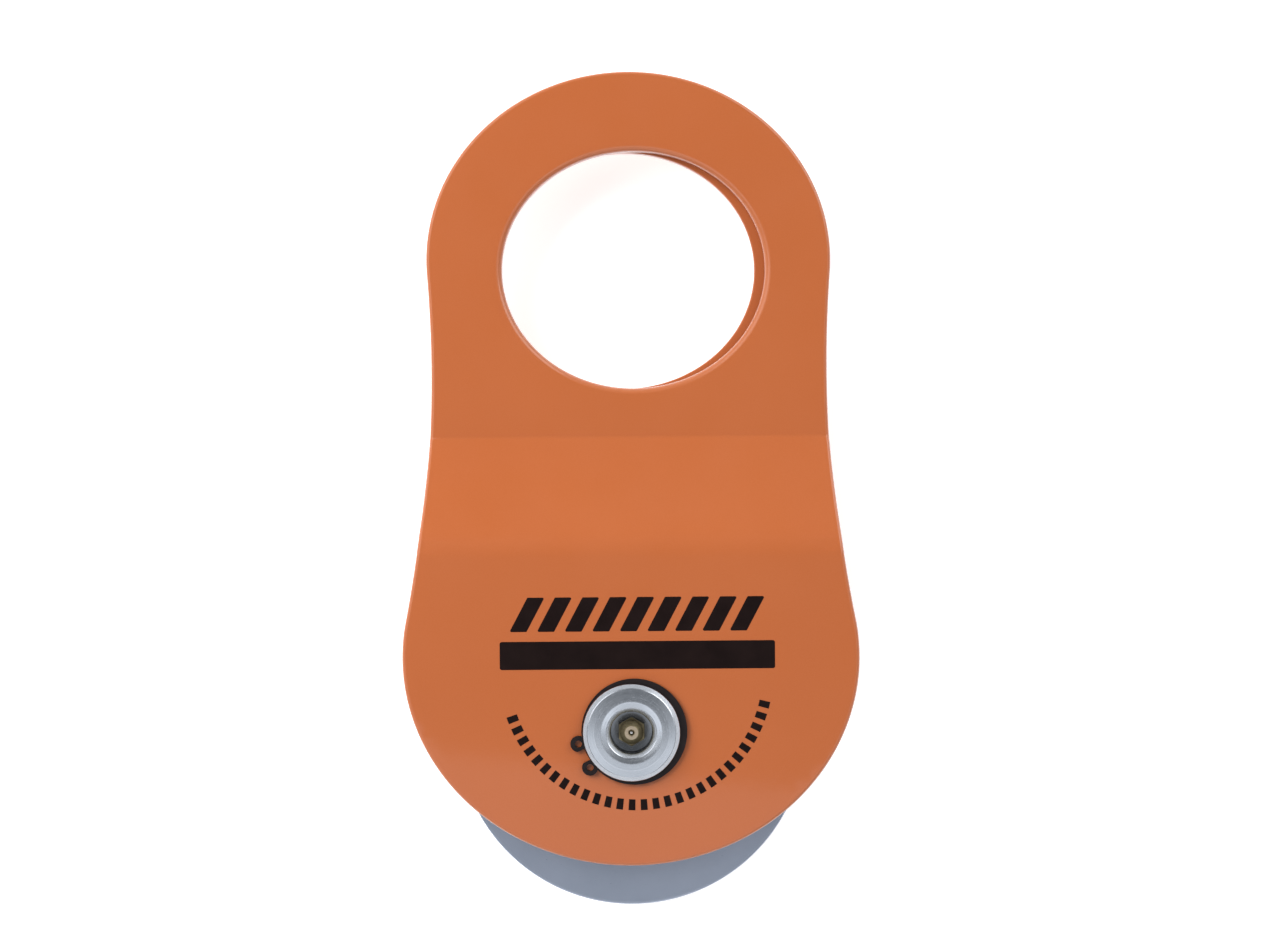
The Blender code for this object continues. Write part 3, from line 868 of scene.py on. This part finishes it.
def make_nipple(material):
    """Hexagon with chamfered corners, round coupling head, threaded shank and the bore for the ball."""
    base, shoulder, tip, seat, opening, _, ledge = nipple_levels()
    shank_r, shank_low = TAP_R - GAP, base - TAP_DEPTH + 1.5 * MM
    head = rounded(
        [
            (0, tip),
            (1.9 * MM, tip, 0.15 * MM),
            (3.25 * MM, tip - 1.35 * MM, 0.35 * MM),
            (3.25 * MM, tip - 1.95 * MM, 0.35 * MM),
            (2.35 * MM, tip - 3.1 * MM, 0.4 * MM),
            (2.35 * MM, tip - 3.7 * MM, 0.3 * MM),
            (3.2 * MM, shoulder - 0.1 * MM, 0.1 * MM),
            (3.2 * MM, base + 0.5 * MM),
            (2.2 * MM, base + 0.2 * MM),
            (0, base + 0.2 * MM),
        ],
        segments=5,
    )
    nipple = helper("grease_nipple_turned", lathe(head, 72))
    corner = HEX_FLATS / 2 / math.cos(math.pi / 6)
    hexagon = rod("hexagon", corner, base, shoulder, 6)
    chamfer = lathe(
        [
            (0, base - 0.05 * MM),
            (corner - 0.45 * MM, base - 0.05 * MM),
            (corner + 0.1 * MM, base + 0.28 * MM),
            (corner + 0.1 * MM, shoulder - 0.32 * MM),
            (corner - 0.62 * MM, shoulder + 0.10 * MM),
            (0, shoulder + 0.10 * MM),
        ],
        72,
    )
    carve(hexagon, [("INTERSECT", helper("hexagon_chamfer", chamfer))])
    shank = helper(
        "shank", threaded(shank_r, shank_r - 0.55 * MM, shank_low, base + 0.3 * MM, 1.0 * MM)
    )
    bore = lathe(
        [
            (0, tip + MM),
            (1.0 * MM, tip + MM),
            (1.0 * MM, tip),
            (opening, tip - 0.35 * MM),
            (opening, seat),
            (BALL_BORE, seat - (BALL_BORE - opening)),
            (BALL_BORE, ledge),
            (0.5 * MM, ledge),
            (0.5 * MM, shank_low - MM),
            (0, shank_low - MM),
        ],
        48,
    )
    carve(
        nipple,
        [("UNION", hexagon), ("UNION", shank), ("DIFFERENCE", helper("nipple_bore", bore))],
    )
    if "edge" not in nipple.data.attributes:
        nipple.data.attributes.new("edge", "FLOAT", "POINT")
    # Painted highlight: the flat top of the tip is marked to be pale.
    pale_tip = [
        1.0 if v.co.z > tip - 0.02 * MM and v.co.xy.length < 1.85 * MM else 0.0
        for v in nipple.data.vertices
    ]
    nipple.data.attributes["edge"].data.foreach_set("value", pale_tip)
    return dress(
        nipple, "rear_plate_and_pin", "grease_nipple", material, sharp=32
    )


def make_ball(material):
    made = bmesh.new()
    bmesh.ops.create_uvsphere(made, u_segments=48, v_segments=32, radius=BALL_R)
    bmesh.ops.translate(made, vec=(0, 0, nipple_levels()[5]), verts=made.verts)
    return piece(
        "nipple_ball_ground", made, "nipple_ball", "nipple_ball", material
    )


def make_spring(material):
    """The coil, with its end turns closed up, as one wire with rounded ends."""
    ball_z, ledge = nipple_levels()[5:7]
    low = ledge + GAP + SPRING_WIRE
    high = ball_z - BALL_R - GAP - SPRING_WIRE
    per_turn, sides = 28, 12
    count = SPRING_TURNS * per_turn + 1
    path = []
    for i in range(count):
        t = i / (count - 1)
        turns = t * SPRING_TURNS
        closed = 2.3 * SPRING_WIRE
        free = (high - low) - 2 * closed
        if turns < 1:
            z = low + closed * turns
        elif turns > SPRING_TURNS - 1:
            z = high - closed * (SPRING_TURNS - turns)
        else:
            z = low + closed + free * (turns - 1) / (SPRING_TURNS - 2)
        angle = 2 * math.pi * turns
        path.append(Vector((SPRING_R * math.cos(angle), SPRING_R * math.sin(angle), z)))
    made = bmesh.new()
    rings = []
    for i, at in enumerate(path):
        ahead = (path[min(i + 1, count - 1)] - path[max(i - 1, 0)]).normalized()
        out = Vector((at.x, at.y, 0)).normalized()
        up = ahead.cross(out).normalized()
        out = up.cross(ahead).normalized()
        rings.append(
            [
                made.verts.new(
                    at
                    + SPRING_WIRE
                    * (out * math.cos(2 * math.pi * k / sides) + up * math.sin(2 * math.pi * k / sides))
                )
                for k in range(sides)
            ]
        )
    for a, b in zip(rings, rings[1:]):
        for k in range(sides):
            j = (k + 1) % sides
            made.faces.new((a[k], a[j], b[j], b[k]))
    made.faces.new(rings[0])
    made.faces.new(rings[-1])
    bmesh.ops.recalc_face_normals(made, faces=made.faces)
    spring = piece(
        "nipple_spring_coiled",
        made,
        "rear_plate_and_pin",
        "nipple_spring",
        material,
    )
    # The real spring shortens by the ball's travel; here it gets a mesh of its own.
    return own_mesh(spring)


def make_bush(material):
    inner, half = PIN_R + GAP, SHEAVE_W / 2
    outer, c = inner + BUSH_WALL, 0.4 * MM
    profile = rounded(
        [
            (outer - c, half, 0.12 * MM),
            (outer, half - c, 0.12 * MM),
            (outer, -half + c, 0.12 * MM),
            (outer - c, -half, 0.12 * MM),
            (inner + c, -half, 0.12 * MM),
            (inner, -half + c, 0.12 * MM),
            (inner, -3 * MM, 0.3 * MM),
            (inner + 0.6 * MM, -2 * MM, 0.3 * MM),
            (inner + 0.6 * MM, 2 * MM, 0.3 * MM),
            (inner, 3 * MM, 0.3 * MM),
            (inner, half - c, 0.12 * MM),
            (inner + c, half, 0.12 * MM),
        ],
        closed=True,
        segments=3,
    )
    return piece(
        "sheave_bush_turned",
        lathe(profile, 96, closed=True, middle=MID),
        "sheave",
        "sheave_bush",
        material,
    )


def make_washer(name, low, material):
    inner, c = PIN_R + GAP, 0.18 * MM
    profile = rounded(
        [
            (WASHER_R, WASHER_T, c),
            (WASHER_R, 0, c),
            (inner, 0, c),
            (inner, WASHER_T, c),
        ],
        closed=True,
        segments=3,
    )
    return piece(
        f"{name}_finished",
        lathe(profile, 128, closed=True, middle=low),
        "rear_plate_and_pin",
        name,
        material,
    )


# ---------------------------------------------------------------- print


PRINT_LOW = FRONT_OUT + 0.004 * MM
PRINT_HIGH = FRONT_OUT + 0.034 * MM


def slab(made, corners):
    """A thin flat shape of print from its corners, in millimetres, anticlockwise."""
    low = [made.verts.new((x * MM, y * MM, PRINT_LOW)) for x, y in corners]
    high = [made.verts.new((x * MM, y * MM, PRINT_HIGH)) for x, y in corners]
    count = len(corners)
    for i in range(count):
        j = (i + 1) % count
        made.faces.new((low[i], low[j], high[j], high[i]))
    made.faces.new(high)
    made.faces.new(list(reversed(low)))


def soft_corners(corners, radius, segments=5):
    """Corners of a flat shape with each one rounded."""
    flat = [(x, y, radius) for x, y in corners]
    return [p[:2] for p in rounded(flat, closed=True, segments=segments)]


def print_stripes(made):
    """A band of slanted stripes over a plain bar."""
    left, right = -36.0, 39.5
    lean = 5.0
    low, high = 27.6, 37.0
    pitch, wide = 7.55, 4.7
    count = 9
    first = left + (right - left - (pitch * (count - 1) + wide + lean)) / 2
    for i in range(count):
        x = first + pitch * i
        stripe = [(x, low), (x + wide, low), (x + wide + lean, high), (x + lean, high)]
        slab(made, soft_corners(stripe, 0.35))
    bar = [(left, 17.2), (right, 17.2), (right, 24.9), (left, 24.9)]
    slab(made, soft_corners(bar, 0.6))


def print_ticks(made):
    """An arc of even ticks under the pin."""
    centre_x, centre_y, inner, outer = 1.4, 16.1, 34.6, 37.6
    first, last, count, half = 200.0, 346.0, 29, 1.45
    for i in range(count):
        middle = first + (last - first) * i / (count - 1)
        run = [
            (
                centre_x + outer * math.cos(math.radians(middle + half * k / 3)),
                centre_y + outer * math.sin(math.radians(middle + half * k / 3)),
            )
            for k in range(-3, 4)
        ]
        run += [
            (
                centre_x + inner * math.cos(math.radians(middle + half * k / 3)),
                centre_y + inner * math.sin(math.radians(middle + half * k / 3)),
            )
            for k in range(3, -4, -1)
        ]
        slab(made, run)


def make_print(name, draw, material):
    made = bmesh.new()
    draw(made)
    bmesh.ops.recalc_face_normals(made, faces=made.faces)
    return piece(name, made, "front_plate", None, material)


# ---------------------------------------------------------------- studio


def studio():
    made, tree, shader = finish_of("pale_floor", Specular_IOR_Level=0.2)
    shader.inputs["Base Color"].default_value = (0.93, 0.93, 0.93, 1)
    shader.inputs["Roughness"].default_value = 0.8
    shader.inputs["Emission Color"].default_value = (1, 1, 1, 1)
    shader.inputs["Emission Strength"].default_value = FLOOR_GLOW
    mesh = bpy.data.meshes.new("studio_floor")
    wide = 30.0
    mesh.from_pydata(
        [(-wide, -wide, 0), (wide, -wide, 0), (wide, wide, 0), (-wide, wide, 0)],
        [],
        [(0, 1, 2, 3)],
    )
    mesh.materials.append(made)
    floor = bpy.data.objects.new("studio_floor", mesh)
    SCENE.collection.objects.link(floor)
    floor.location.z = -0.02 * MM

    # A cove round the floor, so that a low view has a pale background too.
    section = [(6.0 + 1.5 * x, 1.5 + 1.5 * z) for x, z in arc(0, 0, 1, -90, 0, 16)]
    turned = lathe(section + [(7.5, 2.2)], 96)
    mesh = bpy.data.meshes.new("studio_cove")
    turned.to_mesh(mesh)
    turned.free()
    mesh.materials.append(made)
    mesh.shade_smooth()
    cove = bpy.data.objects.new("studio_cove", mesh)
    SCENE.collection.objects.link(cove)
    cove.location.z = floor.location.z

    world = bpy.data.worlds.new("studio")
    SCENE.world = world
    world.use_nodes = True
    background = world.node_tree.nodes["Background"]
    background.inputs["Color"].default_value = (0.94, 0.97, 1.0, 1)
    background.inputs["Strength"].default_value = WORLD_STRENGTH

    for name, at, target, size, power, colour, spin in LIGHTS:
        data = bpy.data.lights.new(name, "AREA")
        data.shape = "RECTANGLE"
        data.size, data.size_y = size
        data.energy = power
        data.color = colour
        light = bpy.data.objects.new(name, data)
        SCENE.collection.objects.link(light)
        light.location = at
        light.rotation_mode = "QUATERNION"
        aim = (Vector(target) - Vector(at)).to_track_quat("-Z", "Y")
        light.rotation_quaternion = aim @ Quaternion((0, 0, 1), math.radians(spin))
        light.visible_camera = False
        # Only key_shine is mirrored, so that the key's glare stays faint.
        light.visible_glossy = name != "key"

    SCENE.view_settings.view_transform = "Standard"
    SCENE.view_settings.look = "None"


def camera():
    data = bpy.data.cameras.new("photo_camera")
    data.sensor_width = 36.0
    data.sensor_fit = "HORIZONTAL"
    data.lens = 90.13
    data.clip_start = 0.05
    data.clip_end = 50.0
    made = bpy.data.objects.new("photo_camera", data)
    SCENE.collection.objects.link(made)
    made.location = (CAMERA_X, 0.0711, MID + 0.9)
    made.rotation_euler = (0, 0, CAMERA_ROLL)
    SCENE.camera = made


PAINT_LOW = (0.378, 0.092, 0.021)
PAINT_HIGH = (0.398, 0.100, 0.025)
PAINT_SPECK = (0.46, 0.14, 0.05)
PAINT_EDGE = (0.47, 0.17, 0.08)
SHADED_BORE = (0.37, 0.092, 0.058)
SHADED_BORE_DEEP = (0.30, 0.070, 0.052)

FLOOR_GLOW = 0.5
WORLD_STRENGTH = 0.22
DAY = (1.0, 0.99, 0.98)
COOL = (0.95, 0.97, 1.0)
LIGHTS = [
    # name, place, aimed at, size, power, colour, turn about its own axis in degrees
    ("key", (-0.724, 0.557, 0.924), (0, 0.05, 0), (0.9, 0.9), 16.1, DAY, 0),
    ("key_shine", (-0.726, 0.558, 0.926), (0, 0.05, 0), (0.9, 0.9), 4.2, DAY, 0),
    ("right_fill", (1.100, 0.955, 1.148), (0, 0.06, 0), (1.25, 1.25), 13.5, DAY, 0),
    ("low_fill", (0, -1.88, 1.07), (0, 0.06, 0), (1.6, 0.8), 3.2, DAY, 0),
    ("low_panel", (-0.14, -0.791, 1.55), (-0.14, -0.791, 0), (1.8, 1.3), 5.3, COOL, -6.3),
    ("left_panel", (-0.75, -0.25, 1.551), (-0.75, -0.25, 0), (0.95, 1.0), 1.05, COOL, 0),
    ("right_panel", (0.80, -0.25, 1.552), (0.80, -0.25, 0), (0.95, 1.0), 1.5, COOL, 0),
]
CAMERA_X = 0.0034
CAMERA_ROLL = -0.0075

ORANGE = powder_coat()
ZINC = plated(
    "zinc_plated_sheave", (0.293, 0.331, 0.409), (0.321, 0.359, 0.443), 0.33, 0.9, 0.008 * MM
)
STEEL = plated(
    "zinc_plated_pin", (0.52, 0.555, 0.61), (0.57, 0.605, 0.66), 0.24, 1.0, 0.002 * MM
)
BALL = plated("ground_ball", (0.62, 0.62, 0.63), (0.72, 0.72, 0.72), 0.16, 1.0, 0.0005 * MM)
BLACK = blackened()
BRASS = brass_with_tip_highlight()
BRONZE = plated(
    "bearing_bronze", (0.42, 0.25, 0.11), (0.52, 0.33, 0.16), 0.34, 1.0, 0.008 * MM
)
WIRE = wire()
INK = ink()

piece("front_plate_coated", plate_mesh(False), "front_plate", "front_side_plate", ORANGE)
piece("rear_plate_coated", plate_mesh(True), "rear_plate_and_pin", "rear_side_plate", ORANGE)
piece(
    "sheave_turned",
    lathe(sheave_profile(), 176, closed=True, middle=MID),
    "sheave",
    "sheave",
    ZINC,
)
make_bush(BRONZE)
make_washer("rear_thrust_washer", REAR_WASHER, BRONZE)
make_washer("front_thrust_washer", FRONT_WASHER, BRONZE)
make_pin(STEEL)
make_ring(BLACK)
make_nipple(BRASS)
make_ball(BALL)
make_spring(WIRE)
make_print("plate_print_stripes", print_stripes, INK)
make_print("plate_print_ticks", print_ticks, INK)
studio()
camera()
